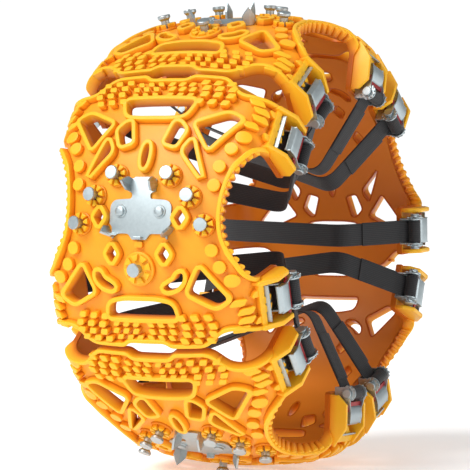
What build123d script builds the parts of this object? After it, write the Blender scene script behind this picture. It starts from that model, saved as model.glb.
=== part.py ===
"""Tyre snow chain set: five tread pads in a ring, each strapped to the wheel by two ratchets.

Frame: millimetres, origin at the wheel centre, wheel axis along Y, outer face towards -Y, +Z up.
A unit is built with its middle at -X, then turned about Y. Along the tread u is arc length and
v is the distance from the tyre's middle plane; d is the height above the tyre.
"""
import os
from math import asin, cos, degrees, pi, radians, sin, sqrt

from build123d import *

os.makedirs("parts", exist_ok=True)

# Tyre that the set fits
TYRE_R = 320.0          # tread radius at the middle plane
CROWN_R = 569.0         # radius of the tread's crown, across the tyre
CROWN_HALF = 125.0      # where the crown meets the shoulder
SIDEWALL_Y = 152.0      # half width of the tyre
ARM_END_R = 222.0       # inner end of the arms

# Ring of units
UNITS = 5
PITCH = 360.0 / UNITS
FIRST_UNIT = 9.0        # the first unit's middle, degrees from -X towards +Z
ARM_ANGLE = 24.8        # arms, either side of a unit's middle
ARM_HALF = 37.0         # half width of an arm

# Pad
PLATE = 8.0             # thickness of the plate that lies on the tyre
RIB_TOP = 18.0          # top of the ribs, lips, lugs and bosses
RIB = 6.0               # width of a rib round a window
WALL_IN, WALL_OUT = 28.5, 35.0   # arm housing side walls
WALL_Y = 186.0          # outer edge of the housing walls
GAP = 0.3               # clearance between separate pieces

# Ratchet, measured from the wheel axis
SPOOL_R, SPOOL_Y = 223.0, -182.0
SHAFT = 5.0             # spool shaft radius
RUN = 0.05              # running clearance on the shaft
ROLL = 10.0             # radius of the wound webbing
WHEEL = 12.5            # tooth tip radius
TEETH = 12
CHEEK = (18.0, 20.0)    # frame cheeks, from and to, along the spool
TOOTHED = (20.4, 22.4)  # ratchet wheels
SIDE = (22.8, 24.8)     # handle sides
SPOOL_HALF = 27.2
BASE_Y = -(SIDEWALL_Y + PLATE + GAP)
SHEET = 2.0             # steel sheet of frame, handle and pawls

# Strap
STRAP_HALF = 17.0
STRAP_T = 2.0
INNER_BEND = (100.0, -110.0)
RIM_BEND = (190.0, 128.0)
BAR_AT = (228.0, 172.0)
BAR = 4.0

CROWN_C = TYRE_R - CROWN_R
CROWN_A = asin(CROWN_HALF / CROWN_R)
SHOULDER = (SIDEWALL_Y - CROWN_HALF) / (1 - sin(CROWN_A))
SHOULDER_R = CROWN_C + (CROWN_R - SHOULDER) * cos(CROWN_A)
SHOULDER_Y = SIDEWALL_Y - SHOULDER
PLAN = Plane(origin=(-400, 0, 0), x_dir=(0, 1, 0), z_dir=(1, 0, 0))


def plan(v, u):
    """Place on the plan view of a unit, seen along its middle."""
    return (v, TYRE_R * sin(u / TYRE_R))


def both(points):
    """A shape and its mirror image across the tyre's middle plane."""
    return [points, [(-v, u) for v, u in reversed(points)]]


def spot(v, u, d):
    """Plane standing on the tread at (v, u), at height d, facing away from the tyre."""
    tilt = asin(v / CROWN_R)
    r = CROWN_C + (CROWN_R + d) * cos(tilt)
    y = (CROWN_R + d) * sin(tilt)
    turn = u / TYRE_R
    out = (-cos(tilt) * cos(turn), sin(tilt), cos(tilt) * sin(turn))
    return Plane(origin=(-r * cos(turn), y, r * sin(turn)),
                 x_dir=(sin(turn), 0, cos(turn)), z_dir=out)


def shell_points(d, side):
    """Corners of the cross-section at height d: crown end, shoulder middle, sidewall, arm end."""
    a = CROWN_A
    mid = (a + pi / 2) / 2
    return [(-(CROWN_C + (CROWN_R + d) * cos(a)), side * (CROWN_R + d) * sin(a)),
            (-(SHOULDER_R + (SHOULDER + d) * cos(mid)), side * (SHOULDER_Y + (SHOULDER + d) * sin(mid))),
            (-SHOULDER_R, side * (SIDEWALL_Y + d)),
            (-ARM_END_R, side * (SIDEWALL_Y + d))]


def band(points, thick):
    """Closed outline of a strip of even thickness along a broken line."""
    left, right = [], []
    for i, (x, y) in enumerate(points):
        before = points[max(i - 1, 0)]
        after = points[min(i + 1, len(points) - 1)]
        normals = []
        for (ax, ay), (bx, by) in ((before, (x, y)), ((x, y), after)):
            run = sqrt((bx - ax) ** 2 + (by - ay) ** 2)
            if run > 0:
                normals.append((-(by - ay) / run, (bx - ax) / run))
        nx = sum(n[0] for n in normals) / len(normals)
        ny = sum(n[1] for n in normals) / len(normals)
        k = thick / 2 / (nx * nx + ny * ny)
        left.append((x + nx * k, y + ny * k))
        right.append((x - nx * k, y - ny * k))
    return left + right[::-1]


# Plan shapes of a pad, (v, u)
half_outline = [(0, 196), (27, 196), (36, 201), (88, 201), (112, 178), (132, 176), (146, 173),
                (146, 100), (142, 88), (130, 62), (120, 27), (117, -6), (120, -32), (132, -59),
                (146, -90), (146, -168), (130, -166), (112, -169), (88, -190), (36, -190),
                (27, -183), (0, -183)]
outline_points = half_outline[1:-1] + [(-v, u) for v, u in reversed(half_outline[1:-1])]
window_points = [[(-54, 159), (54, 159), (44, 133), (-44, 133)],
                 [(-51, -147), (51, -147), (48, -125), (-48, -125)]]
window_points += both([(64, 122), (108, 142), (126, 133), (90, 88)])
window_points += both([(65, 97), (55, 80), (86, 47)])
window_points += both([(36, 122), (52, 111), (42, 88), (26, 92)])
window_points += both([(90, -79), (73, -112), (110, -131), (125, -121)])
window_points += both([(62, 0), (70, -11), (62, -22), (54, -11)])
window_points += both([(40, -49), (48, -60), (40, -71), (32, -60)])
button_spots = [(131, 108), (120, 89), (109, 62), (105, 35), (107, -54), (117, -77), (131, -96)]
stud_spots = [(41, 46), (73, 18), (95, -20)]
centre_stud = (0, -80)
claw_rivet_spot = (30, -3)

# ---- tread pad: moulded plate with windows, raised ribs, lugs and four arms ----
with BuildSketch() as windows:
    for points in window_points:
        with BuildLine():
            Polyline(*[plan(*p) for p in points], close=True)
        make_face()
    fillet(windows.vertices(), 2.4)
    with Locations(plan(0, 73)):
        SlotOverall(34, 10, rotation=90)
    for side in (-1, 1):
        with Locations(plan(side * 52, -96)):
            SlotOverall(36, 8, rotation=side * 40)

with BuildSketch() as outline:
    with BuildLine():
        Polyline(*[plan(*p) for p in outline_points], close=True)
    make_face()

with BuildSketch() as ridges:
    add(outline.sketch_local)
    add(offset(outline.sketch_local, amount=-RIB, kind=Kind.INTERSECTION, mode=Mode.PRIVATE),
        mode=Mode.SUBTRACT)
    for face in windows.sketch_local.faces():
        add(offset(face, amount=RIB, kind=Kind.INTERSECTION, mode=Mode.PRIVATE))
    for side in (-1, 1):
        with Locations(*[plan(side * v, u) for v, u in button_spots]):
            Circle(8.5)
        with Locations(*[plan(side * v, u) for v, u in stud_spots]):
            Circle(16.5)
    with Locations(plan(*centre_stud)):
        Circle(23.5)
    for top, bottom in ((193, 153), (-145, -181)):
        for side in (-1, 1):
            for v in (62, 80, 98):
                with BuildLine():
                    Polyline(*[plan(*p) for p in (
                        (side * (v - 6), top), (side * (v + 6), top), (side * (v + 11), (top + bottom) / 2),
                        (side * (v + 6), bottom), (side * (v - 6), bottom),
                        (side * (v - 1), (top + bottom) / 2))], close=True)
                make_face()
            for v in (12, 26, 40):
                with BuildLine():
                    Polyline(*[plan(*p) for p in (
                        (side * (v - 4), top - 4), (side * (v + 3), top - 4), (side * (v + 6), bottom + 14),
                        (side * (v - 1), bottom + 14))], close=True)
                make_face()
        with Locations(plan(0, (top + bottom) / 2 - 9)):
            Rectangle(104, 5)
    add(windows.sketch_local, mode=Mode.SUBTRACT)

with BuildPart() as plate:
    with BuildSketch(PLAN):
        add(outline.sketch_local)
        add(windows.sketch_local, mode=Mode.SUBTRACT)
    extrude(amount=300)
    for turn in (-ARM_ANGLE, ARM_ANGLE):
        for side in (-1, 1):
            with Locations(Location((0, 0, 0), (0, turn, 0))
                           * Location((-(ARM_END_R + 338) / 2, side * 165, 0))):
                Box(338 - ARM_END_R, 66, 2 * ARM_HALF)
    with BuildSketch(Plane.XY.rotated((0, -45, 0))):
        with BuildLine():
            a, b, c, e = shell_points(0, 1), shell_points(0, -1), shell_points(PLATE, 1), shell_points(PLATE, -1)
            ThreePointArc(b[0], (-TYRE_R, 0), a[0])
            ThreePointArc(a[0], a[1], a[2])
            Polyline(a[2], a[3], c[3], c[2])
            ThreePointArc(c[2], c[1], c[0])
            ThreePointArc(c[0], (-TYRE_R - PLATE, 0), e[0])
            ThreePointArc(e[0], e[1], e[2])
            Polyline(e[2], e[3], b[3], b[2])
            ThreePointArc(b[2], b[1], b[0])
        make_face()
    revolve(axis=Axis.Y, revolution_arc=90, mode=Mode.INTERSECT)

with BuildPart() as raised:
    with BuildSketch(PLAN):
        add(ridges.sketch_local)
    extrude(amount=300)
    with BuildSketch(Plane.XY.rotated((0, -45, 0))):
        with BuildLine():
            low, high = PLATE - 1, RIB_TOP
            a, b = shell_points(low, 1), shell_points(low, -1)
            c, e = shell_points(high, 1), shell_points(high, -1)
            ThreePointArc(b[0], (-TYRE_R - low, 0), a[0])
            ThreePointArc(a[0], a[1], a[2])
            Line(a[2], c[2])
            ThreePointArc(c[2], c[1], c[0])
            ThreePointArc(c[0], (-TYRE_R - high, 0), e[0])
            ThreePointArc(e[0], e[1], e[2])
            Line(e[2], b[2])
            ThreePointArc(b[2], b[1], b[0])
        make_face()
    revolve(axis=Axis.Y, revolution_arc=90, mode=Mode.INTERSECT)

with BuildPart() as arm:
    for side in (-1, 1):
        for z in (-22.5, -7.5, 7.5, 22.5):
            with BuildSketch(Plane.XY.offset(z)):
                for middle in (radians(34), radians(66)):
                    corners = [(middle + da, SHOULDER + d) for da, d in (
                        (-0.14, PLATE - 4), (0.14, PLATE - 4), (0.12, RIB_TOP), (-0.12, RIB_TOP))]
                    with BuildLine():
                        Polyline(*[(-(SHOULDER_R + rr * cos(a)), side * (SHOULDER_Y + rr * sin(a)))
                                   for a, rr in corners], close=True)
                    make_face()
            extrude(amount=6, both=True)
    with BuildSketch(Plane.XY.offset(WALL_IN)):
        with BuildLine():
            Polyline((-226, -155), (-226, -172), (-240, -WALL_Y), (-280, -WALL_Y), (-296, -168),
                     (-296, -147), (-280, -155), close=True)
        make_face()
    extrude(amount=WALL_OUT - WALL_IN)
    mirror(about=Plane.XY)
    with BuildSketch():
        with BuildLine():
            Polyline((-288, -152), (-288, -181), (-294, -181), (-294, -148), close=True)
        make_face()
    extrude(amount=WALL_IN + 1, both=True)
    for z in (-24, 24):
        with BuildSketch(Plane.XY.offset(z)):
            with BuildLine():
                Polyline((-222.5, 155), (-222.5, 184), (-240, 184), (-262, 155), close=True)
            make_face()
        extrude(amount=4, both=True)

with BuildPart() as pad:
    add(plate.part)
    add(raised.part)
    for side in (-1, 1):
        add(arm.part.rotate(Axis.Y, side * ARM_ANGLE))
    for side in (-1, 1):
        for v, u in stud_spots:
            with Locations(spot(side * v, u, 3)):
                Cylinder(6 + GAP, 30, align=(Align.CENTER, Align.CENTER, Align.MIN), mode=Mode.SUBTRACT)
        with Locations(spot(side * claw_rivet_spot[0], claw_rivet_spot[1], 2)):
            Cylinder(4 + GAP, 20, align=(Align.CENTER, Align.CENTER, Align.MIN), mode=Mode.SUBTRACT)
    with Locations(spot(centre_stud[0], centre_stud[1], 3)):
        Cylinder(6 + GAP, 30, align=(Align.CENTER, Align.CENTER, Align.MIN), mode=Mode.SUBTRACT)
    for turn in (-ARM_ANGLE, ARM_ANGLE):
        middle = Location((0, 0, 0), (0, turn, 0))
        with Locations(middle * Location((-BAR_AT[0], BAR_AT[1], 0))):
            Cylinder(BAR + GAP, 80, mode=Mode.SUBTRACT)
        with Locations(*[middle * Location((-r, -156, 0), (90, 0, 0)) for r in (262, 276)]):
            Cylinder(3 + GAP, 30, mode=Mode.SUBTRACT)
print("pad volume", pad.part.volume, "solids", len(pad.part.solids()), "faces", len(pad.part.faces()))

# ---- steel claw plate: curved sheet with four folded points and a folded tongue ----
CLAW_D = PLATE + GAP
with BuildPart() as claw_plate:
    with BuildSketch(PLAN):
        with BuildLine():
            Polyline(*[plan(*p) for p in (
                (-13, 44), (13, 44), (13, 42), (21, 42), (21, 24), (13, 24), (13, 12), (40, 12), (47, 5),
                (47, -41), (40, -34), (16, -34), (12, -40), (-12, -40), (-16, -34), (-40, -34),
                (-47, -41), (-47, 5), (-40, 12), (-13, 12), (-13, 24), (-21, 24), (-21, 42), (-13, 42))],
                close=True)
        make_face()
    extrude(amount=200)
    with BuildSketch(Plane.XY.rotated((0, -20, 0))):
        with BuildLine():
            ends = []
            for d in (CLAW_D, CLAW_D + 3):
                a = asin(60 / CROWN_R)
                r, y = CROWN_C + (CROWN_R + d) * cos(a), (CROWN_R + d) * sin(a)
                ends.append((r, y))
                ThreePointArc((-r, -y), (-TYRE_R - d, 0), (-r, y))
            for side in (-1, 1):
                Line((-ends[0][0], side * ends[0][1]), (-ends[1][0], side * ends[1][1]))
        make_face()
    revolve(axis=Axis.Y, revolution_arc=40, mode=Mode.INTERSECT)
    with BuildSketch(spot(0, -38.3, CLAW_D)):
        Rectangle(3, 14)
    extrude(amount=9)
    for side in (-1, 1):
        for v, u, turn in ((19.5, 33, 0), (45.5, -31, pi / 4)):
            base = spot(side * v, u, CLAW_D)
            width = base.x_dir * cos(turn) + base.y_dir * side * sin(turn)
            with BuildSketch(Plane(origin=base.origin, x_dir=width, z_dir=width.cross(base.z_dir))):
                with BuildLine():
                    Polyline((-9, 0), (9, 0), (9, 14.5), (1, 26.7), (-1, 26.7), (-9, 14.5), close=True)
                make_face()
            extrude(amount=1.5, both=True)
        with Locations(spot(side * claw_rivet_spot[0], claw_rivet_spot[1], CLAW_D - 2)):
            Cylinder(4 + GAP, 8, align=(Align.CENTER, Align.CENTER, Align.MIN), mode=Mode.SUBTRACT)

# ---- studs: shank and round cap, seven on each pad ----
with BuildPart() as unit_studs:
    for v, u in [(s * v, u) for v, u in stud_spots for s in (-1, 1)] + [centre_stud]:
        with Locations(spot(v, u, 3 + GAP)):
            Cylinder(6, 23, align=(Align.CENTER, Align.CENTER, Align.MIN))
        with Locations(spot(v, u, 26)):
            Cone(9, 8, 5, align=(Align.CENTER, Align.CENTER, Align.MIN))

# ---- rivets that hold the claw plate ----
with BuildPart() as unit_claw_rivets:
    for side in (-1, 1):
        with Locations(spot(side * claw_rivet_spot[0], claw_rivet_spot[1], 2 + GAP)):
            Cylinder(4, CLAW_D + 3 + GAP - 2, align=(Align.CENTER, Align.CENTER, Align.MIN))
        with Locations(spot(side * claw_rivet_spot[0], claw_rivet_spot[1], CLAW_D + 3 + GAP)):
            Cone(9, 5, 4.5, align=(Align.CENTER, Align.CENTER, Align.MIN))

# ---- ratchet frame: base sheet with two cheeks and an end flange ----
with BuildPart() as frame:
    with Locations((-249, BASE_Y - SHEET / 2, 0)):
        Box(70, SHEET, 2 * CHEEK[1])
    with BuildSketch(Plane.XY.offset(CHEEK[0])):
        with BuildLine():
            Polyline((-214, BASE_Y), (-214, -177), (-256, -177), (-262, BASE_Y), close=True)
        make_face()
        with Locations((-SPOOL_R, SPOOL_Y)):
            Circle(11.5)
            Circle(SHAFT + RUN, mode=Mode.SUBTRACT)
        with Locations((-241, SPOOL_Y + 10)):
            Rectangle(20, SHEET + 2 * GAP, mode=Mode.SUBTRACT)
    extrude(amount=CHEEK[1] - CHEEK[0])
    mirror(about=Plane.XY)
    with Locations((-284, -(174 + 160.3) / 2, 0)):
        Box(2, 13.7, 52)
    with Locations(*[(-r, BASE_Y - 1, 0) for r in (262, 276)]):
        Cylinder(3 + GAP, 10, rotation=(90, 0, 0), mode=Mode.SUBTRACT)

# ---- rivets that hold the frame on the arm ----
with BuildPart() as frame_rivets:
    for r in (262, 276):
        with Locations((-r, -153, 0)):
            Cylinder(3, 163.1 - 153, rotation=(90, 0, 0), align=(Align.CENTER, Align.CENTER, Align.MIN))
        with Locations((-r, BASE_Y - SHEET - GAP, 0)):
            Cone(6, 3.5, 3, rotation=(90, 0, 0), align=(Align.CENTER, Align.CENTER, Align.MIN))

# ---- spool: shaft, two toothed wheels and two end heads ----
with BuildPart() as spool:
    with Locations((-SPOOL_R, SPOOL_Y, 0)):
        Cylinder(SHAFT, 2 * SPOOL_HALF)
    for side in (-1, 1):
        middle = side * (TOOTHED[0] + TOOTHED[1]) / 2
        with BuildSketch(Plane.XY.offset(middle)):
            with BuildLine():
                points = []
                for i in range(TEETH):
                    a = 2 * pi * i / TEETH
                    for radius, angle in ((WHEEL, a), (9.5, a + 0.12)):
                        points.append((-SPOOL_R + radius * cos(angle), SPOOL_Y + radius * sin(angle)))
                Polyline(*points, close=True)
            make_face()
        extrude(amount=(TOOTHED[1] - TOOTHED[0]) / 2, both=True)
        with Locations((-SPOOL_R, SPOOL_Y, side * (SPOOL_HALF - 0.9))):
            Cylinder(7, 1.8)

# ---- handle: two sides on the spool shaft and a grip sheet ----
with BuildPart() as handle:
    with BuildSketch(Plane.XY.offset(SIDE[0])):
        with Locations((-(SPOOL_R + 23.5), SPOOL_Y)):
            Rectangle(47, 14)
        with Locations((-SPOOL_R, SPOOL_Y)):
            Circle(9)
            Circle(SHAFT + RUN, mode=Mode.SUBTRACT)
        with Locations((-(240.7 + 250.8) / 2, SPOOL_Y)):
            Rectangle(10.1, SHEET + 2 * GAP, mode=Mode.SUBTRACT)
    extrude(amount=SIDE[1] - SIDE[0])
    mirror(about=Plane.XY)
    with Locations((-255, SPOOL_Y - 4, 0)):
        Box(30, 3, 2 * SIDE[1])

# ---- pawls: lock pawl in the frame, drive pawl in the handle ----
with BuildPart() as lock_pawl:
    with Locations((-(232.6 + 246) / 2, SPOOL_Y + 10, 0)):
        Box(246 - 232.6, SHEET, 2 * TOOTHED[1] - 0.2)
with BuildPart() as drive_pawl:
    with Locations((-243, SPOOL_Y, 0)):
        Box(14, SHEET, 2 * TOOTHED[1] - 0.2)
    with Locations((-244, SPOOL_Y, 0)):
        Box(6, SHEET, 2 * SIDE[1] + 3)

# ---- strap: wound on the spool, through the wheel and looped on the inner bar ----
run = (INNER_BEND[0] - SPOOL_R, INNER_BEND[1] - SPOOL_Y)
length = sqrt(run[0] ** 2 + run[1] ** 2)
off = ROLL - STRAP_T / 2
lean = asin(off / length)
way = (run[0] / length, run[1] / length)
normal = (way[1] * cos(lean) + way[0] * sin(lean), -way[0] * cos(lean) + way[1] * sin(lean))
leave = (SPOOL_R + normal[0] * off, SPOOL_Y + normal[1] * off)
run = (BAR_AT[0] - RIM_BEND[0], BAR_AT[1] - RIM_BEND[1])
length = sqrt(run[0] ** 2 + run[1] ** 2)
loop = BAR + GAP + STRAP_T / 2
meet = (BAR_AT[0] - run[1] / length * loop, BAR_AT[1] + run[0] / length * loop)
with BuildPart() as strap:
    with BuildSketch():
        with BuildLine():
            Polyline(*[(-r, y) for r, y in band([leave, INNER_BEND, RIM_BEND, meet], STRAP_T)], close=True)
        make_face()
        with Locations((-SPOOL_R, SPOOL_Y)):
            Circle(ROLL)
            Circle(SHAFT + GAP, mode=Mode.SUBTRACT)
        with Locations((-BAR_AT[0], BAR_AT[1])):
            Circle(loop + STRAP_T / 2)
            Circle(BAR + GAP, mode=Mode.SUBTRACT)
    extrude(amount=STRAP_HALF, both=True)
print("strap volume", strap.part.volume, "solids", len(strap.part.solids()))

# ---- bar on the inner arm, with two heads ----
with BuildPart() as bar:
    with Locations((-BAR_AT[0], BAR_AT[1], 0)):
        Cylinder(BAR, 63)
    for side in (-1, 1):
        with Locations((-BAR_AT[0], BAR_AT[1], side * 30)):
            Cylinder(6.5, 3)

# ---- place the pieces round the wheel and write them out ----
arm_turns = [FIRST_UNIT + PITCH * k + side * ARM_ANGLE for k in range(UNITS) for side in (-1, 1)]

for k in range(UNITS):
    turn = FIRST_UNIT + PITCH * k
    for name, piece in (("pad", pad), ("claw_plate", claw_plate)):
        placed = piece.part.rotate(Axis.Y, turn)
        placed.label = f"{name}_{k + 1}"
        export_step(placed, f"parts/{name}_{k + 1}.step")
    straps = Compound(children=[strap.part.rotate(Axis.Y, turn + side * ARM_ANGLE) for side in (-1, 1)])
    straps.label = f"straps_{k + 1}"
    export_step(straps, f"parts/straps_{k + 1}.step")

for name, piece in (("studs", unit_studs), ("claw_rivets", unit_claw_rivets)):
    group = Compound(children=[piece.part.rotate(Axis.Y, FIRST_UNIT + PITCH * k) for k in range(UNITS)])
    group.label = name
    export_step(group, f"parts/{name}.step")

for name, piece in (("ratchet_frames", frame), ("frame_rivets", frame_rivets), ("anchor_bars", bar)):
    group = Compound(children=[piece.part.rotate(Axis.Y, turn) for turn in arm_turns])
    group.label = name
    export_step(group, f"parts/{name}.step")

for i, turn in enumerate(arm_turns):
    for name, piece in (("spool", spool), ("handle", handle), ("lock_pawl", lock_pawl),
                        ("drive_pawl", drive_pawl)):
        placed = piece.part.rotate(Axis.Y, turn)
        placed.label = f"{name}_{i + 1:02d}"
        export_step(placed, f"parts/{name}_{i + 1:02d}.step")
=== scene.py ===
"""Tyre snow chain set: five moulded tread pads with studs, claw plates, ratchets and webbing."""
import bmesh
import bpy
import numpy as np
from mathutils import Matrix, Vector
from mathutils.geometry import delaunay_2d_cdt


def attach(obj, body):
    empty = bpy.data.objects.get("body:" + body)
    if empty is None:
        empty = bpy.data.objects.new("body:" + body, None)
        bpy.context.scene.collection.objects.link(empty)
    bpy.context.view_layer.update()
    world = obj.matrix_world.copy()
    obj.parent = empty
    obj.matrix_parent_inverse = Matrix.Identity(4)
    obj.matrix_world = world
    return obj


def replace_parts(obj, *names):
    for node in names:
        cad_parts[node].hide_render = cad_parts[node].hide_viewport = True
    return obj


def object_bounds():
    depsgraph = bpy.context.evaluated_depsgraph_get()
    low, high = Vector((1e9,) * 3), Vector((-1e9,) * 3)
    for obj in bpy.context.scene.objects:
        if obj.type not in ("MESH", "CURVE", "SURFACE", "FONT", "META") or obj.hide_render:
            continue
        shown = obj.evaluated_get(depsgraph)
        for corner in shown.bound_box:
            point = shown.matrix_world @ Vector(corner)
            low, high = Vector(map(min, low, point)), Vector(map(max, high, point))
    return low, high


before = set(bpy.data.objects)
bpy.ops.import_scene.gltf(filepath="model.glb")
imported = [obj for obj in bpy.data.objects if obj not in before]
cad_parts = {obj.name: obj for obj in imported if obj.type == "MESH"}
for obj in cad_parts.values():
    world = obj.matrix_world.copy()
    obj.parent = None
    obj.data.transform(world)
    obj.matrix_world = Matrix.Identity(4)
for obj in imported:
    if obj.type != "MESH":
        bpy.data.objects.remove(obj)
cad_low, cad_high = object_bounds()

# ---- Studio ----
# A long lens looks at the front unit and across the outer face of the ring. The floor is pale and plain,
# level with the lowest studs. A soft sun is the key light, a weak white sky fills the shadows, and two
# square lamps stand in front of the pad and beside the ratchets.
AZIMUTH, ELEVATION, DISTANCE = np.radians(-63.47), np.radians(1.95), 3.626
LENS, SHIFT_X, SHIFT_Y, FAR = 184.8, -0.023, 0.0093, 50
SUN_POWER, SUN_ANGLE, SUN_HEADING = 2.6, np.radians(34), Vector((0.9, -0.5, -1.05))
SKY_SEEN, SKY_FILL = 1.04, 0.32
FLOOR_HALF, FLOOR_GLOW = 9, 0.36
back = Vector((np.sin(AZIMUTH) * np.cos(ELEVATION), -np.cos(AZIMUTH) * np.cos(ELEVATION),
               np.sin(ELEVATION)))
camera = bpy.data.objects.new("camera", bpy.data.cameras.new("camera"))
bpy.context.scene.collection.objects.link(camera)
camera.location = back * DISTANCE
camera.rotation_euler = (-back).to_track_quat("-Z", "Y").to_euler()
camera.data.lens = LENS
camera.data.shift_x, camera.data.shift_y = SHIFT_X, SHIFT_Y
camera.data.clip_end = FAR
bpy.context.scene.camera = camera


def soft_lamp(name, place, aim, size, power):
    """An area lamp of one size, turned so that it points from its place to the aim."""
    lamp = bpy.data.objects.new(name, bpy.data.lights.new(name, "AREA"))
    lamp.data.shape, lamp.data.size, lamp.data.energy = "SQUARE", size, power
    lamp.location = place
    lamp.rotation_euler = (Vector(aim) - Vector(place)).to_track_quat("-Z", "Y").to_euler()
    bpy.context.scene.collection.objects.link(lamp)


def link(tree, source, target):
    """Joins an output socket to an input socket."""
    tree.links.new(source, target)


soft_lamp("lamp_front", (-2.6, 0.2, 0.9), (0, 0, 0), 0.8, 7)
soft_lamp("lamp_outer", (-0.2, -2.8, 0.9), (0, 0, 0), 0.8, 17)
key = bpy.data.objects.new("key", bpy.data.lights.new("key", "SUN"))
key.data.energy, key.data.angle = SUN_POWER, SUN_ANGLE
key.rotation_euler = SUN_HEADING.to_track_quat("-Z", "Y").to_euler()
bpy.context.scene.collection.objects.link(key)

world = bpy.data.worlds.new("studio")
bpy.context.scene.world = world
world.use_nodes = True
tree = world.node_tree
ray = tree.nodes.new("ShaderNodeLightPath")
level = tree.nodes.new("ShaderNodeMath")
level.operation = "MULTIPLY_ADD"
level.inputs[1].default_value, level.inputs[2].default_value = SKY_SEEN - SKY_FILL, SKY_FILL
link(tree, ray.outputs["Is Camera Ray"], level.inputs[0])
link(tree, level.outputs["Value"], tree.nodes["Background"].inputs["Strength"])
tree.nodes["Background"].inputs["Color"].default_value = (1, 1, 1, 1)
bpy.context.scene.view_settings.view_transform = "Standard"

floor_mesh = bpy.data.meshes.new("floor")
floor_corners = [(x * FLOOR_HALF, y * FLOOR_HALF, cad_low[2])
                 for x, y in ((-1, -1), (1, -1), (1, 1), (-1, 1))]
floor_mesh.from_pydata(floor_corners, [], [(0, 1, 2, 3)])
floor = bpy.data.objects.new("floor", floor_mesh)
bpy.context.scene.collection.objects.link(floor)
pale = bpy.data.materials.new("pale_floor")
pale.use_nodes = True
paint = pale.node_tree.nodes["Principled BSDF"]
paint.inputs["Base Color"].default_value = (0.95, 0.95, 0.95, 1)
paint.inputs["Roughness"].default_value = 0.9
paint.inputs["Emission Color"].default_value = (1, 1, 1, 1)
paint.inputs["Emission Strength"].default_value = FLOOR_GLOW
floor_mesh.materials.append(pale)

# ---- Tread pads ----
# Each pad is one moulding of amber polyurethane: a plate that lies on the tread, with windows, raised
# ribs, lugs and stud bosses, and four arms that wrap over the tyre's shoulders. It is drawn flat in
# millimetres as across (s), along (u) and height (d), then wrapped round the tyre.
TYRE, CROWN, SIDE, CROWN_HALF = 320.0, 569.0, 152.0, 125.0
CROWN_ANGLE = np.arcsin(CROWN_HALF / CROWN)
SHOULDER = (SIDE - CROWN_HALF) / (1 - np.sin(CROWN_ANGLE))
CROWN_RUN = CROWN * CROWN_ANGLE
SHOULDER_RUN = CROWN_RUN + SHOULDER * (np.pi / 2 - CROWN_ANGLE)
CROWN_AXIS = TYRE - CROWN
SHOULDER_R = CROWN_AXIS + (CROWN - SHOULDER) * np.cos(CROWN_ANGLE)
SHOULDER_Y = SIDE - SHOULDER
ARM = np.radians(24.8)
UNITS = np.radians(9.0 + 72.0 * np.arange(5))
PLATE = 8.0
ARM_FROM, ARM_BLEND, ARM_HALF, ARM_FADE = 112, 40, 62, 20


def smooth_step(x):
    """0 below 0, 1 above 1, and 3x^2 - 2x^3 between."""
    x = np.clip(x, 0, 1)
    return x * x * (3 - 2 * x)


def section(a, d):
    """Radius and side distance of the tyre's section at run a and height d: a wide arc over the crown,
    a tight arc round the shoulder, then straight down the sidewall."""
    crown = np.minimum(a, CROWN_RUN) / CROWN
    bend = CROWN_ANGLE + np.clip(a - CROWN_RUN, 0, SHOULDER_RUN - CROWN_RUN) / SHOULDER
    on_crown = a <= CROWN_RUN
    r = np.where(on_crown, CROWN_AXIS + (CROWN + d) * np.cos(crown),
                 SHOULDER_R + (SHOULDER + d) * np.cos(bend) - np.maximum(a - SHOULDER_RUN, 0))
    y = np.where(on_crown, (CROWN + d) * np.sin(crown), SHOULDER_Y + (SHOULDER + d) * np.sin(bend))
    return r, y


def wrap(flat, turn):
    """Flat (s, u, d) to the row frame, in metres. On the tread u runs round the tyre. Near an arm the
    point moves over to a straight strip, square to that arm's radius. Then the unit turns by turn."""
    s, u, d = flat[:, 0], flat[:, 1], flat[:, 2]
    r, y = section(np.abs(s), d)
    lead = np.where(u > 0, ARM, -ARM)
    across = u - TYRE * lead
    share = (smooth_step((np.abs(s) - ARM_FROM) / ARM_BLEND)
             * smooth_step((ARM_HALF - np.abs(across)) / ARM_FADE))
    round_t = turn + u / TYRE
    arm_t = turn + lead
    x = -r * np.cos(round_t) * (1 - share) + (-r * np.cos(arm_t) + across * np.sin(arm_t)) * share
    z = r * np.sin(round_t) * (1 - share) + (r * np.sin(arm_t) + across * np.cos(arm_t)) * share
    return np.stack([x, -np.sign(s) * y, z], 1) / 1000


def rounded(corners, reach, gap=2.5):
    """Closed outline through corners, each cut by a quadratic curve that starts reach from the corner,
    then spaced evenly, gap apart."""
    p = np.array(corners, float)
    a, b = np.roll(p, 1, 0) - p, np.roll(p, -1, 0) - p
    la, lb = np.linalg.norm(a, axis=1), np.linalg.norm(b, axis=1)
    cut = np.minimum(np.broadcast_to(reach, la.shape), 0.48 * np.minimum(la, lb))[:, None]
    a, b = p + a / la[:, None] * cut, p + b / lb[:, None] * cut
    q = np.linspace(0, 1, 7)[None, :, None]
    bend = (1 - q) ** 2 * a[:, None] + 2 * q * (1 - q) * p[:, None] + q ** 2 * b[:, None]
    line = bend.reshape(-1, 2)
    line = np.vstack([line, line[:1]])
    run = np.concatenate([[0], np.cumsum(np.linalg.norm(np.diff(line, axis=0), axis=1))])
    at = np.linspace(0, run[-1], max(12, int(run[-1] / gap)), endpoint=False)
    return np.stack([np.interp(at, run, line[:, 0]), np.interp(at, run, line[:, 1])], 1)


def outward(line):
    """Unit normals of a closed outline, away from its middle: the turned central difference."""
    step = np.roll(line, -1, 0) - np.roll(line, 1, 0)
    length = np.maximum(np.linalg.norm(step, axis=1), 1e-9)
    normal = np.stack([step[:, 1], -step[:, 0]], 1) / length[:, None]
    area = np.sum(line[:, 0] * np.roll(line[:, 1], -1) - np.roll(line[:, 0], -1) * line[:, 1])
    return normal * np.sign(area)


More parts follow.
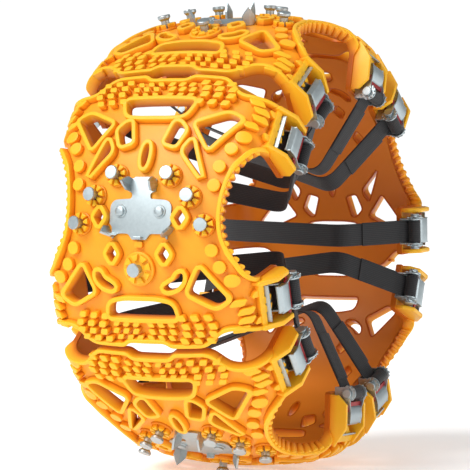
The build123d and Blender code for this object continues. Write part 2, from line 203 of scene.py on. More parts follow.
def net(coords, close_rows, close_columns):
    """Grid coords[rows, columns, 3] to vertices and quads, closed round either way."""
    m, n = coords.shape[:2]
    i, j = np.meshgrid(np.arange(m if close_rows else m - 1), np.arange(n if close_columns else n - 1),
                       indexing="ij")
    i, j = i.ravel(), j.ravel()
    i2, j2 = (i + 1) % m, (j + 1) % n
    return coords.reshape(-1, 3), np.stack([i * n + j, i2 * n + j, i2 * n + j2, i * n + j2], 1)


def edging(line, profile, top=None):
    """A closed rib: the profile's (offset, height) points carried along an outline, offset along its
    outward normals. top scales each point's height above the plate."""
    normal = outward(line)
    offset, height = profile[:, 0], profile[:, 1]
    grid = np.empty((len(line), len(profile), 3))
    grid[:, :, :2] = line[:, None] + normal[:, None] * offset[None, :, None]
    grid[:, :, 2] = height
    if top is not None:
        grid[:, :, 2] = np.minimum(height[None], 7.5 + (height[None] - 7.5) * top[:, None])
    return net(grid, True, True)


def blocks(outlines, low, high, soft, dome=0.0):
    """Closed blocks on outlines[B, N, 2]: a ring at the bottom, two where the edge starts to round, two
    that pull in to the middle as it rounds over, one that keeps the top flat, and a middle point."""
    outlines = np.asarray(outlines, float)
    b, n = outlines.shape[:2]
    middle = outlines.mean(1, keepdims=True)
    size = np.linalg.norm(outlines - middle, axis=2).mean(1)[:, None, None]
    low, high = np.broadcast_to(low, b)[:, None, None], np.broadcast_to(high, b)[:, None, None]
    rings = []
    for pull, height in ((0.0, low), (0.0, high - 1.6 * soft), (0.0, high - soft),
                         (0.3 * soft, high - 0.3 * soft), (soft, high), (1.5 * soft, high)):
        ring = middle + (outlines - middle) * (1 - pull / size)
        rings.append(np.concatenate([ring, np.broadcast_to(height, (b, n, 1))], 2))
    peak = np.concatenate([middle, high + dome], 2)
    base = np.concatenate([middle, low], 2)
    coords = np.concatenate(rings + [peak, base], 1)
    per = 6 * n + 2
    j = np.arange(n)
    j2 = (j + 1) % n
    quads = np.concatenate([np.stack([k * n + j, k * n + j2, (k + 1) * n + j2, (k + 1) * n + j], 1)
                            for k in range(5)])
    tris = np.concatenate([np.stack([5 * n + j, 5 * n + j2, np.full(n, 6 * n)], 1),
                           np.stack([j2, j, np.full(n, 6 * n + 1)], 1)])
    shift = (np.arange(b) * per)[:, None, None]
    quads, tris = (quads[None] + shift).reshape(-1, 4), (tris[None] + shift).reshape(-1, 3)
    return coords.reshape(-1, 3), quads, tris


def turned(spots, profile, sides=28):
    """Round pieces on spots[B, 2]: the profile's (radius, height) points turned a full circle."""
    a = np.arange(sides) * 2 * np.pi / sides
    out = []
    for s, u in spots:
        grid = np.empty((len(profile), sides, 3))
        grid[:, :, 0] = s + profile[:, :1] * np.cos(a)
        grid[:, :, 1] = u + profile[:, :1] * np.sin(a)
        grid[:, :, 2] = profile[:, 1:2]
        out.append(net(grid, False, True))
    return gather(out)


def slab(profiles, axis, low, high, soft=1.0):
    """Flat-sided walls: each outline in the other two axes is carried along the given axis, and pulls
    in towards its middle at both ends by soft."""
    out = []
    for outline, a, b in zip(profiles, low, high):
        outline = np.asarray(outline, float)
        middle = outline.mean(0)
        size = np.linalg.norm(outline - middle, axis=1).mean()
        inner = middle + (outline - middle) * (1 - soft / size)
        point = np.tile(middle, (len(outline), 1))
        rings = [(point, a), (inner, a), (outline, a + soft), (outline, b - soft), (inner, b), (point, b)]
        grid = np.stack([np.insert(ring, axis, at, axis=1) for ring, at in rings])
        out.append(net(grid, False, True))
    return gather(out)


def inside(points, line):
    """True for points inside a closed outline, by counting the edges that a ray along +s crosses."""
    x, y = points[:, :1], points[:, 1:2]
    ax, ay = line[None, :, 0], line[None, :, 1]
    bx, by = np.roll(line[:, 0], -1)[None], np.roll(line[:, 1], -1)[None]
    rise = np.where(by == ay, 1e-9, by - ay)
    hit = ((ay > y) != (by > y)) & (x < ax + (y - ay) / rise * (bx - ax))
    return hit.sum(1) % 2 == 1


def sheet(outline, holes, low, high, gap):
    """A plate of even thickness: the outline and holes joined by triangles, with extra points gap
    apart, once at each height, and walls along every open edge."""
    loops = [outline] + list(holes)
    lo, hi = outline.min(0), outline.max(0)
    grid = np.meshgrid(np.arange(lo[0], hi[0], gap), np.arange(lo[1], hi[1], gap))
    grid = np.stack(grid, -1).reshape(-1, 2)
    near = np.vstack(loops)
    keep = inside(grid, outline) & (np.abs(grid[:, None] - near[None]).max(2).min(1) > 0.45 * gap)
    for hole in holes:
        keep &= ~inside(grid, hole)
    points = np.vstack(loops + [grid[keep]])
    edges, start = [], 0
    for loop in loops:
        k = np.arange(len(loop))
        edges.append(np.stack([start + k, start + (k + 1) % len(loop)], 1))
        start += len(loop)
    made = delaunay_2d_cdt([Vector(p) for p in points], np.vstack(edges).tolist(), [], 0, 1e-5)
    flat = np.array([tuple(v) for v in made[0]])
    tris = np.array(made[2])
    centre = flat[tris].mean(1)
    keep = inside(centre, outline)
    for hole in holes:
        keep &= ~inside(centre, hole)
    tris = tris[keep]
    n = len(flat)
    sides = np.vstack([tris[:, [0, 1]], tris[:, [1, 2]], tris[:, [2, 0]]])
    key = np.sort(sides, 1)
    _, first, count = np.unique(key[:, 0] * n + key[:, 1], return_index=True, return_counts=True)
    rim = sides[first[count == 1]]
    coords = np.vstack([np.column_stack([flat, np.full(n, height)]) for height in (high, low)])
    walls = np.stack([rim[:, 1], rim[:, 0], rim[:, 0] + n, rim[:, 1] + n], 1)
    return coords, walls, np.vstack([tris, tris[:, ::-1] + n])


def gather(parts):
    """Joins (vertices, quads, triangles) parts into one, with their numbers moved along."""
    coords, quads, tris, start = [], [], [], 0
    for part in parts:
        coords.append(part[0])
        quads.append(np.asarray(part[1]).reshape(-1, 4) + start)
        if len(part) > 2:
            tris.append(np.asarray(part[2]).reshape(-1, 3) + start)
        start += len(part[0])
    return np.vstack(coords), np.vstack(quads), np.vstack(tris) if tris else np.empty((0, 3), int)


def mirrored(part):
    """The part and its mirror image on the tyre's other side."""
    flip = (part[0] * np.array([-1.0, 1.0, 1.0]), *part[1:])
    return gather([part, flip])


def piece(name, coords, quads, tris, material, body, slot, sharp=38, rise=None, uv=None):
    """A mesh object from arrays, in metres, riding on a body, with outward faces and edges sharper
    than the given angle kept crisp."""
    mesh = bpy.data.meshes.new(name)
    loops = np.concatenate([quads.ravel(), tris.ravel()]).astype(np.int32)
    totals = np.concatenate([np.full(len(quads), 4), np.full(len(tris), 3)]).astype(np.int32)
    starts = np.concatenate([[0], np.cumsum(totals)[:-1]]).astype(np.int32)
    mesh.vertices.add(len(coords))
    mesh.vertices.foreach_set("co", coords.astype(np.float32).ravel())
    mesh.loops.add(len(loops))
    mesh.loops.foreach_set("vertex_index", loops)
    mesh.polygons.add(len(totals))
    mesh.polygons.foreach_set("loop_start", starts)
    mesh.polygons.foreach_set("loop_total", totals)
    mesh.update(calc_edges=True)
    mesh.validate()
    if rise is not None:
        mesh.attributes.new("rise", "FLOAT", "POINT").data.foreach_set("value", rise.astype(np.float32))
    if uv is not None:
        layer = mesh.uv_layers.new(name="weave")
        index = np.empty(len(mesh.loops), np.int32)
        mesh.loops.foreach_get("vertex_index", index)
        layer.data.foreach_set("uv", uv[index].astype(np.float32).ravel())
    work = bmesh.new()
    work.from_mesh(mesh)
    bmesh.ops.recalc_face_normals(work, faces=work.faces)
    work.to_mesh(mesh)
    work.free()
    mesh.polygons.foreach_set("use_smooth", np.ones(len(mesh.polygons), bool))
    mesh.set_sharp_from_angle(angle=np.radians(sharp))
    mesh.materials.append(material)
    made = bpy.data.objects.new(name, mesh)
    bpy.context.scene.collection.objects.link(made)
    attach(made, body)
    return made


def finish(name):
    """A new node material; returns it with its tree and its Principled shader."""
    made = bpy.data.materials.new(name)
    made.use_nodes = True
    return made, made.node_tree, made.node_tree.nodes["Principled BSDF"]


# Amber polyurethane with painted shade and painted light: deeper orange low down where shade falls,
# yellower on the thin tops where light falls, with faint flow marks.
amber, tree, shader = finish("amber_polyurethane")
rise_in = tree.nodes.new("ShaderNodeAttribute")
rise_in.attribute_name = "rise"
# This ramp paints shade low down and light on the tops, by each point's height.
ramp = tree.nodes.new("ShaderNodeValToRGB")
ramp.color_ramp.elements[0].position, ramp.color_ramp.elements[0].color = 0.0, (0.50, 0.095, 0.001, 1)
ramp.color_ramp.elements[1].position, ramp.color_ramp.elements[1].color = 1.0, (0.97, 0.50, 0.02, 1)
middle_tone = ramp.color_ramp.elements.new(0.5)
middle_tone.color = (0.92, 0.345, 0.016, 1)
link(tree, rise_in.outputs["Fac"], ramp.inputs["Fac"])
link(tree, ramp.outputs["Color"], shader.inputs["Base Color"])
shader.inputs["Roughness"].default_value = 0.40
shader.inputs["Specular IOR Level"].default_value = 0.32
shader.inputs["Subsurface Weight"].default_value = 0.12
shader.inputs["Subsurface Radius"].default_value = (1.0, 0.45, 0.08)
shader.inputs["Subsurface Scale"].default_value = 0.006
where = tree.nodes.new("ShaderNodeTexCoord")
flow = tree.nodes.new("ShaderNodeTexNoise")
flow.inputs["Scale"].default_value = 90
flow.inputs["Detail"].default_value = 4
bump = tree.nodes.new("ShaderNodeBump")
bump.inputs["Strength"].default_value = 0.12
bump.inputs["Distance"].default_value = 0.0006
link(tree, where.outputs["Object"], flow.inputs["Vector"])
link(tree, flow.outputs["Fac"], bump.inputs["Height"])
link(tree, bump.outputs["Normal"], shader.inputs["Normal"])

# Half of the pad's outline, end to end down one side, and how far each corner is cut.
half = [(0, 196), (27, 196), (36, 204), (88, 204), (113, 178), (133, 175.5), (152, 175.5),
        (224, 175.5), (224, 101.5), (176, 101.5), (158, 100), (145, 88), (130, 62), (120.5, 27),
        (117.5, -6), (120.5, -32), (132, -59), (146, -87), (159, -100), (176, -101.5), (224, -101.5),
        (224, -175.5), (152, -173), (131, -166), (113, -169), (88, -190), (36, -190), (27, -183),
        (0, -183)]
reach = [0, 6, 6, 12, 12, 12, 8, 6, 6, 10, 14, 12, 16, 16, 16, 16, 12, 12, 12, 10, 6, 6, 12, 12, 12, 12,
         6, 6, 0]
outline = rounded(half[1:-1] + [(-s, u) for s, u in half[-2:0:-1]],
                  np.array(reach[1:-1] + reach[-2:0:-1], float))
circle = np.stack([np.cos(np.arange(36) * np.pi / 18), np.sin(np.arange(36) * np.pi / 18)], 1)
windows_both = [
    (((64, 122), (108, 142), (127, 134), (90, 86)), (5, 9, 6, 4)),
    (((65, 98), (54, 80), (87, 44)), (5, 8, 3)),
    (((34, 123), (41, 122), (52, 111), (42, 87), (25, 92)), (3, 4, 5, 5, 3)),
    (((90, -77), (72, -112), (110, -132), (128, -121)), (5, 6, 7, 8)),
    (((62, 1), (70.5, -11), (62, -23), (53.5, -11)), (2, 2, 2, 2)),
    (((40, -48), (48.5, -60), (40, -72), (31.5, -60)), (2, 2, 2, 2)),
    (((67, -84), (67, -95), (56, -106), (42, -109), (36, -104), (44, -99), (54, -94), (59, -85)),
     (6, 7, 8, 5, 4, 5, 6, 5)),
]
windows = [rounded(((-54, 159), (54, 159), (45, 134), (20, 131.5), (-20, 131.5), (-45, 134)),
                   np.array((8, 8, 10, 6, 6, 10.0))),
           rounded(((-52, -147), (52, -147), (48, -127), (22, -122.5), (-22, -122.5), (-48, -127)),
                   np.array((6, 6, 9, 8, 8, 9.0))),
           np.array([0.0, 73.0]) + np.array([5.0, 17.0]) * circle]
for corners, cut in windows_both:
    one = rounded(corners, np.array(cut, float))
    windows += [one, one * np.array([-1.0, 1.0])]

# A rib stands outside its window and a lip stands inside the pad's edge; both have softened flat tops.
rib = np.array([(0, 0), (0, 16.4), (0, 17.0), (0.4, 17.7), (1.0, 18.0), (1.4, 18.0), (4.6, 18.0),
                (5.0, 18.0), (5.6, 17.7), (6.0, 17.0), (6.1, 16.4), (7.2, 8.0), (7.4, 3.0)])
lip = np.array([(0, 0), (0, 16.4), (0, 17.0), (-0.4, 17.7), (-1.0, 18.0), (-1.4, 18.0), (-4.0, 18.0),
                (-4.4, 18.0), (-5.0, 17.7), (-5.4, 17.0), (-5.5, 16.4), (-7.0, 8.0), (-7.6, 2.0)])
fade = 1 - smooth_step((np.abs(outline[:, 0]) - 158) / 14)
parts = [edging(outline, lip, fade)]
parts += [edging(line, rib) for line in windows]
plate_edge = outline - outward(outline) * 3.0
plate_holes = [line + outward(line) * 3.0 for line in windows]
plate_start = sum(len(part[0]) for part in parts)
parts.append(sheet(plate_edge, plate_holes, 0.0, PLATE, 9.0))
plate_end = plate_start + len(parts[-1][0])

# Round buttons follow the waist on both sides.
buttons = np.array([(132, 108), (120.5, 89), (109, 62), (105, 35), (107, -54), (117.5, -77),
                    (132, -96.0)])
parts.append(mirrored(blocks(buttons[:, None] + 9.2 * circle[None], 6.0, 15.5, 1.0, 0.2)))

# Scalloped teeth stand along the waist's edge, the full depth of the wall.
waist = outline[(np.abs(outline[:, 1]) < 96) & (outline[:, 0] > 0)]
run = np.concatenate([[0], np.cumsum(np.linalg.norm(np.diff(waist, axis=0), axis=1))])
at = np.arange(6, run[-1] - 4, 12.0)
teeth = np.stack([np.interp(at, run, waist[:, 0]), np.interp(at, run, waist[:, 1])], 1)
parts.append(mirrored(blocks(teeth[:, None] + 4.2 * circle[None, ::3], 0.5, 15.5, 1.0, 0.2)))


def leaning(spots, width, tall, lean):
    """Four-cornered lug outlines [B, 8, 2] round spots: width by tall, with the upper side pushed
    sideways by lean, and every corner clipped."""
    corner = np.array([(-0.5, -0.32), (-0.36, -0.5), (0.36, -0.5), (0.5, -0.32), (0.5, 0.32),
                       (0.36, 0.5), (-0.36, 0.5), (-0.5, 0.32)])
    spots = np.asarray(spots, float)
    shape = corner * np.array([width, tall])
    shape = shape + np.stack([corner[:, 1] * lean, np.zeros(8)], 1)
    return spots[:, None] + shape[None]


# Rows of lugs across both ends: three tall columns a side, bent like chevrons, and three short ones.
for u0, way in ((174, 1), (-163, -1)):
    columns = np.array([60, 79, 98.0])
    bend = np.array([(-2, 16), (3.5, 5.5), (4, -5.5), (-1.5, -17)]) * np.array([1, way])
    spots = (np.stack([columns, np.full(3, u0)], 1)[:, None] + bend[None]).reshape(-1, 2)
    heights = np.tile([18.5, 19.5, 20.0, 18.5], 3)
    parts.append(mirrored(blocks(leaning(spots, 11.0, 8.6, 3 * way), 5.0, heights, 0.9, 0.1)))
    columns = np.array([11, 26.5, 42.0])
    bend = np.array([(-2.5, 11), (1.5, 1.5), (0, -8.5)]) * np.array([1, way])
    spots = (np.stack([columns, np.full(3, u0 + way)], 1)[:, None] + bend[None]).reshape(-1, 2)
    heights = np.tile([16.5, 18.0, 17.0], 3)
    parts.append(mirrored(blocks(leaning(spots, 8.8, 7.6, 3.5 * way), 5.0, heights, 0.8, 0.1)))

# Two columns of lugs over each shoulder, on every arm.
for way in (1, -1):
    for s0, u0 in ((139, 147), (162, 139)):
        bend = np.array([(-3, 19), (3.5, 6.5), (4, -6.0), (-3, -18.5)])
        spots = np.array([(s0, u0)]) + bend
        spots[:, 1] *= way
        lugs = leaning(spots, 15.0, 9.8, -5 * way)
        parts.append(mirrored(blocks(lugs, 5.0, [17, 18.5, 18.5, 17], 1.0, 0.1)))

# Stud bosses: a low round foot with eight petals that lean up to the shank. The middle one is larger.
studs = np.array([(41, 46), (73, 18), (95, -20), (-41, 46), (-73, 18), (-95, -20)], float)
foot = np.array([(0, 5), (16.5, 5), (16.5, 9.8), (15.9, 10.8), (15, 11.2), (0, 11.2)])
parts.append(turned(studs, foot, 32))
foot_big = np.array([(0, 5), (23.5, 5), (23.5, 12.6), (22.9, 13.6), (22, 14), (0, 14)])
parts.append(turned([(0, -80)], foot_big, 40))
petal_turn = np.radians(np.arange(8) * 45 + 12)
petal_side = np.radians(15.5)
for spots, near, far, top in ((studs, 7.2, 15.0, 18.0), (np.array([(0.0, -80.0)]), 11.5, 20.0, 17.8)):
    ray = np.stack([petal_turn - petal_side * 0.8, petal_turn - petal_side, petal_turn + petal_side,
                    petal_turn + petal_side * 0.8], 1)
    dist = np.array([near, far, far, near])
    shape = np.stack([np.cos(ray) * dist, np.sin(ray) * dist], 2)
    parts.append(blocks((spots[:, None, None] + shape[None]).reshape(-1, 4, 2), 8.0, top, 1.2, 0.2))
# One low block stands under the claw plate's tongue.
tongue_block = np.array([(0.0, -47.5)])[:, None] + 6 * leaning([(0, 0)], 2.0, 1.4, 0)[0]
parts.append(blocks(tongue_block, 5.0, 13.0, 0.8, 0.2))

# Arm ends: side walls and a cross wall that box in the ratchet, and two ears for the bar inside.
reach_u = TYRE * ARM
for way in (1, -1):
    u0 = way * reach_u
    wall = [(220, 3), (220, 20), (206, 33.5), (172, 33.5), (156, 22), (152, 3)]
    parts.append(slab([wall, wall], 1, [u0 + 28.5, u0 - 35], [u0 + 35, u0 - 28.5], 1.2))
    cross_wall = [(u0 - 29, 4), (u0 + 29, 4), (u0 + 29, 18.5), (u0 - 29, 18.5)]
    parts.append(slab([cross_wall], 0, [157], [163], 1.0))
    ear = [(-223.5, 3), (-223.5, 32), (-206, 32), (-184, 3)]
    parts.append(slab([ear, ear], 1, [u0 + 18, u0 - 26], [u0 + 26, u0 - 18], 1.0))

# rise tells the material how high each point stands, for painted shade and light; the plate is painted
# lit on top, shaded below.
pad_flat, pad_quads, pad_tris = gather(parts)
painted_light_by_height = 0.05 + 0.95 * np.clip((pad_flat[:, 2] - 7.5) / 9.0, 0, 1)
painted_light_by_height[plate_start:plate_end] = np.where(pad_flat[plate_start:plate_end, 2] > PLATE / 2, 0.55, 0.2)
for number, turn in enumerate(UNITS, 1):
    made = piece(f"tread_pad_{number}", wrap(pad_flat, turn), pad_quads, pad_tris, amber, "ring",
                 "amber_tpu", rise=painted_light_by_height)
    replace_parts(made, f"pad_{number}")

# ---- Steel ----
# Studs, rivets, claw plates and the ratchets are zinc-plated steel, pressed or turned, with a fine
# crystal mottle and soft reflections.
zinc, tree, shader = finish("zinc_plate")
where = tree.nodes.new("ShaderNodeTexCoord")
grain = tree.nodes.new("ShaderNodeTexNoise")
grain.inputs["Scale"].default_value = 240
grain.inputs["Detail"].default_value = 3
tone = tree.nodes.new("ShaderNodeValToRGB")
tone.color_ramp.elements[0].color = (0.42, 0.485, 0.505, 1)
tone.color_ramp.elements[1].color = (0.54, 0.61, 0.63, 1)
rough = tree.nodes.new("ShaderNodeMapRange")
rough.inputs["To Min"].default_value = 0.42
rough.inputs["To Max"].default_value = 0.52
link(tree, where.outputs["Object"], grain.inputs["Vector"])
link(tree, grain.outputs["Fac"], tone.inputs["Fac"])
link(tree, grain.outputs["Fac"], rough.inputs["Value"])
link(tree, tone.outputs["Color"], shader.inputs["Base Color"])
link(tree, rough.outputs["Result"], shader.inputs["Roughness"])
shader.inputs["Metallic"].default_value = 1.0

for name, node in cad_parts.items():
    if not node.hide_render and not name.startswith("straps"):
        node.data.materials.clear()
        node.data.materials.append(zinc)

# ---- Studs and rivets ----
# Turned steel studs: a shank through the petals of each boss, and a flat round cap with a broken
# edge. The claw plates' rivets are low domes on washers.
shank = np.array([(0, 9), (6.0, 9), (6.0, 23.0), (9.0, 26.6), (9.0, 29.9), (8.2, 30.9), (0, 31.0)])
steel_parts = turned(np.vstack([studs, [(0, -80)]]), shank, 32)
dome = np.array([(0, 10), (9.0, 10), (9.0, 12.4), (8.4, 13.0), (6.6, 13.0), (6.4, 15.4), (5.2, 16.3),
                 (2.6, 16.6), (0, 16.6)])
rivet_parts = turned([(30, -3), (-30, -3)], dome, 32)


def all_units(part):
    """The flat part wrapped onto each of the five units, as one set of arrays."""
    return gather([(wrap(part[0], turn), *part[1:]) for turn in UNITS])


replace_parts(piece("tread_studs", *all_units(steel_parts), zinc, "ring", "zinc_steel"), "studs")
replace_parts(piece("plate_rivets", *all_units(rivet_parts), zinc, "ring", "zinc_steel"), "claw_rivets")

# ---- Claw plates ----
# One steel pressing in the middle of each pad, curved to the tread, with two pointed claws folded up
# beside its neck, one across each lower corner, and a short tongue between them.
claw_half = [(0, 44), (12.5, 44), (14.5, 42), (21, 42), (21, 24), (15.5, 23), (13.5, 19), (15, 14),
             (37, 13), (43, 11), (47, 5), (47, -20), (43, -24), (43, -41), (38, -36), (33, -33),
             (17, -33), (13, -38), (11, -41), (0, -41)]
claw_cut = np.array([0, 2, 2, 1, 1, 3, 3, 3, 4, 4, 4, 1, 2, 2, 2, 3, 4, 3, 2, 0], float)
claw_line = rounded(claw_half[1:-1] + [(-s, u) for s, u in claw_half[-2:0:-1]],
                    np.concatenate([claw_cut[1:-1], claw_cut[-2:0:-1]]), 1.6)
rivet_holes = [np.array([(side * 30.0, -3.0)]) + 4.3 * circle for side in (-1, 1)]
bright_parts = [sheet(claw_line, rivet_holes, 8.4, 11.4, 6.0)]


def claw(s, u, turn):
    """A claw that stands on the sheet at (s, u), turned about its own upright: a pointed plate with a
    crease up its middle, as a row of four-cornered sections across its width."""
    t = np.array([-9.0, -9.0, -5.0, 0.0, 5.0, 9.0, 9.0])
    bulge = 2.4 * (1 - np.abs(t) / 9.0)
    top = np.array([15.0, 21.8, 28.4, 35.0, 28.4, 21.8, 15.0])
    half = np.array([0.0, 1.5, 1.5, 1.5, 1.5, 1.5, 0.0])
    grid = np.empty((7, 4, 3))
    grid[:, :, 0] = bulge[:, None] + half[:, None] * np.array([-1, -1, 1, 1]) - 1.2
    grid[:, :, 1] = t[:, None]
    grid[:, :, 2] = np.stack([np.full(7, 8.8), top, top, np.full(7, 8.8)], 1)
    grid[[0, -1], :, 2] = 15.0
    c, k = np.cos(turn), np.sin(turn)
    coords, quads = net(grid, False, True)
    flat = coords.copy()
    flat[:, 0] = s + coords[:, 0] * c + coords[:, 1] * k
    flat[:, 1] = u - coords[:, 0] * k + coords[:, 1] * c
    return flat, quads


bright_parts.append(mirrored(claw(19.5, 33, 0)))
bright_parts.append(mirrored(claw(45.5, -31, np.radians(45))))
bright_parts.append(slab([[(-7, 8.8), (7, 8.8), (5.5, 17.3), (-5.5, 17.3)]], 1, [-39.8], [-36.8], 0.5))
claw_flat, claw_quads, claw_tris = gather(bright_parts)
for number, turn in enumerate(UNITS, 1):
    made = piece(f"claw_sheet_{number}", wrap(claw_flat, turn), claw_quads, claw_tris, zinc, "ring",
                 "zinc_steel", sharp=20)
    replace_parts(made, f"claw_plate_{number}")

# ---- Ratchets ----
# A ratchet sits in each outer arm: a steel base with two cheeks, a shaft with a toothed wheel at each
# end, and a pressed handle over the base. It is drawn in its arm's own frame: outwards from the road
# wheel's axis (r), along that axis (y) and along the shaft (w).
ARM_TURNS = (UNITS[:, None] + np.array([-ARM, ARM])).ravel()
SHAFT_R, SHAFT_Y = 223.0, -182.0


def place(local, turn):
    """Arm coordinates (r, y, w) in millimetres to the row frame in metres, for an arm turned by turn."""
    r, y, w = local[:, 0], local[:, 1], local[:, 2]
    x, z = -r * np.cos(turn) + w * np.sin(turn), r * np.sin(turn) + w * np.cos(turn)
    return np.stack([x, y, z], 1) / 1000


def spun(profile, centre, sides=36, teeth=None):
    """A round piece along the shaft: the profile's (radius, w) points turned about the centre."""
    a = np.arange(sides) * 2 * np.pi / sides
    radius = profile[:, :1] * np.ones(sides)
    if teeth is not None:
        radius = np.where(profile[:, :1] > 9.0, np.minimum(radius, teeth[None]), radius)
    grid = np.stack([centre[0] + radius * np.cos(a), centre[1] + radius * np.sin(a),
                     np.broadcast_to(profile[:, 1:2], radius.shape)], 2)
    return net(grid, False, True)


# Twelve saw teeth: the radius climbs a short steep side from root to tip, then falls away slowly.
ROOT, TIP, STEEP = 9.6, 12.5, 0.16
tooth_angle = (np.arange(144) % 12) / 12.0
tooth_radius = np.where(tooth_angle < STEEP, ROOT + (TIP - ROOT) * tooth_angle / STEEP,
                        TIP - (TIP - ROOT) * (tooth_angle - STEEP) / (1 - STEEP))[::-1]
wheel = np.array([(0, -1), (10, -1), (12.5, -0.8), (12.5, 0.8), (10, 1), (0, 1)])
axle = np.array([(0, -27.2), (6.2, -27.2), (7, -26.5), (7, -25.6), (6, -25.2), (5, -25.2), (5, 25.2),
                 (6, 25.2), (7, 25.6), (7, 26.5), (6.2, 27.2), (0, 27.2)])
spool_parts = [spun(axle, (SHAFT_R, SHAFT_Y))]
for side in (-1, 1):
    spool_parts.append(spun(wheel + np.array([0, side * 21.4]), (SHAFT_R, SHAFT_Y), 144, tooth_radius))
spool_local = gather(spool_parts)

# Handle: two side straps from the shaft that step in behind the toothed wheels, and a narrow grip that
# is bowed outwards over its length, with both long edges turned down.
side_path = np.array([(215, 23.8), (219, 23.8), (236, 23.8), (240, 22.6), (244, 19.6), (248, 18.6),
                      (268, 18.6)])
side_low = np.array([-179.5, -176.0, -176.5, -177.0, -177.5, -178.0, -179.5])
side_high = np.array([-184.5, -188.0, -187.0, -186.6, -186.0, -186.0, -185.0])
handle_parts = []
for side in (-1, 1):
    grid = np.empty((7, 4, 3))
    grid[:, :, 0] = side_path[:, :1]
    grid[:, :, 1] = np.stack([side_low, side_high, side_high, side_low], 1)
    grid[:, :, 2] = side * (side_path[:, 1:] + np.array([-0.9, -0.9, 0.9, 0.9]))
    body = net(grid, False, True)
    ends = np.array([[0, 1, 2, 3], [24, 25, 26, 27]])
    handle_parts.append((body[0], np.vstack([body[1], ends])))
bow = np.linspace(0, 1, 18)
grip_r = 241 + 28.5 * bow
grip_y = (-184.2 - 3.2 * np.sin(bow * np.pi) + 5.0 * smooth_step((bow - 0.86) / 0.14)
          + 2.4 * smooth_step((0.1 - bow) / 0.1))
grip_w = np.array([-19.5, -19.0, -17.0, -6.0, 6.0, 17.0, 19.0, 19.5])
drop = np.array([1.4, 0.5, 0.0, 0.0, 0.0, 0.0, 0.5, 1.4])
grip = np.empty((18, 8, 3))
grip[:, :, 0], grip[:, :, 1], grip[:, :, 2] = grip_r[:, None], grip_y[:, None] + drop, grip_w
shell = np.concatenate([grip, (grip + np.array([0, 1.7, 0]))[::-1]])
rows = np.arange(17)
caps = [np.stack([rows * 8, (rows + 1) * 8, (34 - rows) * 8, (35 - rows) * 8], 1) + c for c in (0, 7)]
coords, quads = net(shell, True, False)
handle_parts.append((coords, np.vstack([quads, *caps])))
handle_local = gather(handle_parts)

for number, turn in enumerate(ARM_TURNS, 1):
    made = piece(f"toothed_spool_{number:02d}", place(spool_local[0], turn), *spool_local[1:], zinc,
                 f"spool_{number:02d}", "zinc_steel", sharp=25)
    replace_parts(made, f"spool_{number:02d}")
    made = piece(f"ratchet_handle_{number:02d}", place(handle_local[0], turn), *handle_local[1:], zinc,
                 f"handle_{number:02d}", "zinc_steel", sharp=30)
    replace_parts(made, f"handle_{number:02d}")

# The pawls are painted dark red: a painted reflection and painted shade that stand in for the amber
# reflected in the steel and the shaded inner lug.
painted_reflection_steel, tree, shader = finish("painted_reflection_red")
shader.inputs["Base Color"].default_value = (0.34, 0.010, 0.012, 1)
shader.inputs["Roughness"].default_value = 0.35
shader.inputs["Metallic"].default_value = 0.4
for name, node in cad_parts.items():
    if "pawl" in name:
        node.data.materials.clear()
        node.data.materials.append(painted_reflection_steel)

# ---- Webbing ----
# Woven black polyester, 34 mm wide and 2 mm thick. It is wound on the shaft, runs towards the hub,
# turns in between the spokes, bends over the rim's inner edge and loops round the inner bar.
webbing, tree, shader = finish("black_webbing")
weave_at = tree.nodes.new("ShaderNodeUVMap")
weave_at.uv_map = "weave"
across = tree.nodes.new("ShaderNodeTexWave")
across.bands_direction = "X"
across.inputs["Scale"].default_value = 1.6
across.inputs["Distortion"].default_value = 0.4
along = tree.nodes.new("ShaderNodeTexWave")
along.bands_direction = "Y"
along.inputs["Scale"].default_value = 1.1
along.inputs["Distortion"].default_value = 0.3
cross = tree.nodes.new("ShaderNodeMath")
cross.operation = "MULTIPLY"
tone = tree.nodes.new("ShaderNodeValToRGB")
tone.color_ramp.elements[0].color = (0.006, 0.006, 0.007, 1)
tone.color_ramp.elements[1].color = (0.03, 0.03, 0.033, 1)
bump = tree.nodes.new("ShaderNodeBump")
bump.inputs["Strength"].default_value = 0.6
bump.inputs["Distance"].default_value = 0.0005
link(tree, weave_at.outputs["UV"], across.inputs["Vector"])
link(tree, weave_at.outputs["UV"], along.inputs["Vector"])
link(tree, across.outputs["Fac"], cross.inputs[0])
link(tree, along.outputs["Fac"], cross.inputs[1])
link(tree, cross.outputs["Value"], tone.inputs["Fac"])
link(tree, tone.outputs["Color"], shader.inputs["Base Color"])
link(tree, cross.outputs["Value"], bump.inputs["Height"])
link(tree, bump.outputs["Normal"], shader.inputs["Normal"])
shader.inputs["Roughness"].default_value = 0.72
shader.inputs["Sheen Weight"].default_value = 0.12
shader.inputs["Sheen Roughness"].default_value = 0.5


def ribbon(path, width, thick):
    """A strap of even thickness with soft edges: a flat section with thinned edges is carried along a
    path in the (r, y) plane and turned with its normal. Also gives (along, across) in millimetres."""
    step = np.gradient(path, axis=0)
    step /= np.linalg.norm(step, axis=1)[:, None]
    normal = np.stack([-step[:, 1], step[:, 0]], 1)
    run = np.concatenate([[0], np.cumsum(np.linalg.norm(np.diff(path, axis=0), axis=1))])
    w = np.array([-1, -0.985, -0.95, -0.5, 0, 0.5, 0.95, 0.985, 1, 0.985, 0.95, 0.5, 0, -0.5, -0.95,
                  -0.985]) * width / 2
    t = np.array([0, 0.35, 0.5, 0.5, 0.5, 0.5, 0.5, 0.35])
    t = np.concatenate([t, -t]) * thick
    grid = np.empty((len(path), len(w), 3))
    grid[:, :, :2] = path[:, None] + normal[:, None] * t[None, :, None]
    grid[:, :, 2] = w
    uv = np.stack([np.broadcast_to(run[:, None], grid.shape[:2]),
                   np.broadcast_to(w, grid.shape[:2])], 2).reshape(-1, 2)
    coords, quads = net(grid, False, True)
    n, k = len(w), len(path)
    j = np.arange(1, 8)
    start = np.stack([j - 1, j, (n - j) % n, (n - j + 1) % n], 1)
    close = np.vstack([start[:, ::-1], start + (k - 1) * n])
    return coords, np.vstack([quads, close]), uv


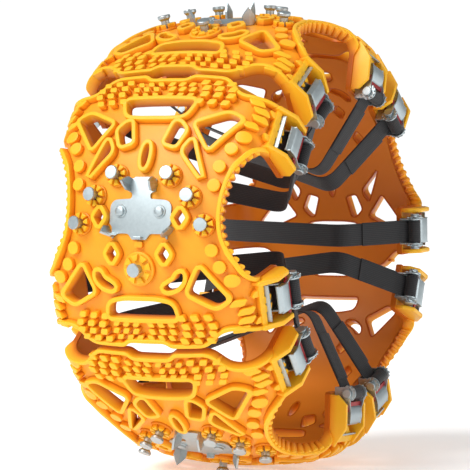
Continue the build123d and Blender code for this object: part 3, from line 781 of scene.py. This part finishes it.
def eased(corners, cut, gap=3.0):
    """An open path through corners with each bend cut by a quadratic curve, evenly spaced."""
    p = np.array(corners, float)
    pieces_of = [p[:1]]
    q = np.linspace(0, 1, 9)[:, None]
    for before, at, after, c in zip(p[:-2], p[1:-1], p[2:], cut):
        a = at + (before - at) / np.linalg.norm(before - at) * c
        b = at + (after - at) / np.linalg.norm(after - at) * c
        pieces_of.append((1 - q) ** 2 * a + 2 * q * (1 - q) * at + q ** 2 * b)
    line = np.vstack(pieces_of + [p[-1:]])
    run = np.concatenate([[0], np.cumsum(np.linalg.norm(np.diff(line, axis=0), axis=1))])
    even = np.linspace(0, run[-1], int(run[-1] / gap))
    return np.stack([np.interp(even, run, line[:, 0]), np.interp(even, run, line[:, 1])], 1)


# The strap's way: off the roll, to the bend by the hub, over the rim's inner edge, and round the bar.
BEND, RIM, BAR = np.array([100.0, -110.0]), np.array([190.0, 128.0]), np.array([228.0, 172.0])
STRAP, STRAP_THICK, ROLL, LOOP = 34.0, 1.9, 9.0, 5.4
spool_at = np.array([SHAFT_R, SHAFT_Y])
to_bend = BEND - spool_at
reach_len = np.linalg.norm(to_bend)
lean = np.arcsin(ROLL / reach_len)
heading = np.arctan2(to_bend[1], to_bend[0]) + lean
leave_angle = heading - np.pi / 2
leave_angle = leave_angle + np.pi if np.sin(leave_angle) < 0 else leave_angle
coil = np.linspace(2 * np.pi * 1.35, 0, 64)
coil_radius = ROLL - 2.0 * coil / (2 * np.pi)
coil_way = np.stack([np.cos(leave_angle + coil), np.sin(leave_angle + coil)], 1)
coil_path = spool_at + coil_radius[:, None] * coil_way
to_bar = BAR - RIM
across_bar = np.array([-to_bar[1], to_bar[0]]) / np.linalg.norm(to_bar)
meet_angle = np.arctan2(across_bar[1], across_bar[0])
loop_turn = np.linspace(0, -1.75 * np.pi, 40)
loop_path = BAR + LOOP * np.stack([np.cos(meet_angle + loop_turn), np.sin(meet_angle + loop_turn)], 1)
main_path = eased([coil_path[-1], BEND, RIM, loop_path[0]], [22, 30])
strap = ribbon(np.vstack([coil_path[:-1], main_path[:-1], loop_path]), STRAP, STRAP_THICK)
# A doubler is sewn on below the roll.
direction = to_bend / reach_len
patch_path = main_path[(np.arange(len(main_path)) > 8) & (np.arange(len(main_path)) < 34)]
side_normal = np.array([direction[1], -direction[0]])
side_normal = side_normal if side_normal[1] < 0 else -side_normal
patch = ribbon(patch_path + side_normal * STRAP_THICK, STRAP + 1.5, STRAP_THICK)
strap_coords = np.vstack([strap[0], patch[0]])
strap_quads = np.vstack([strap[1], patch[1] + len(strap[0])])
strap_uv = np.vstack([strap[2], patch[2]]) / 10.0
for number in range(5):
    both_arms = [place(strap_coords, turn) for turn in ARM_TURNS[2 * number:2 * number + 2]]
    made = piece(f"webbing_{number + 1}", np.vstack(both_arms),
                 np.vstack([strap_quads, strap_quads + len(strap_coords)]), np.empty((0, 3), int),
                 webbing, "ring", "black_webbing", uv=np.vstack([strap_uv, strap_uv]))
    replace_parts(made, f"straps_{number + 1}")
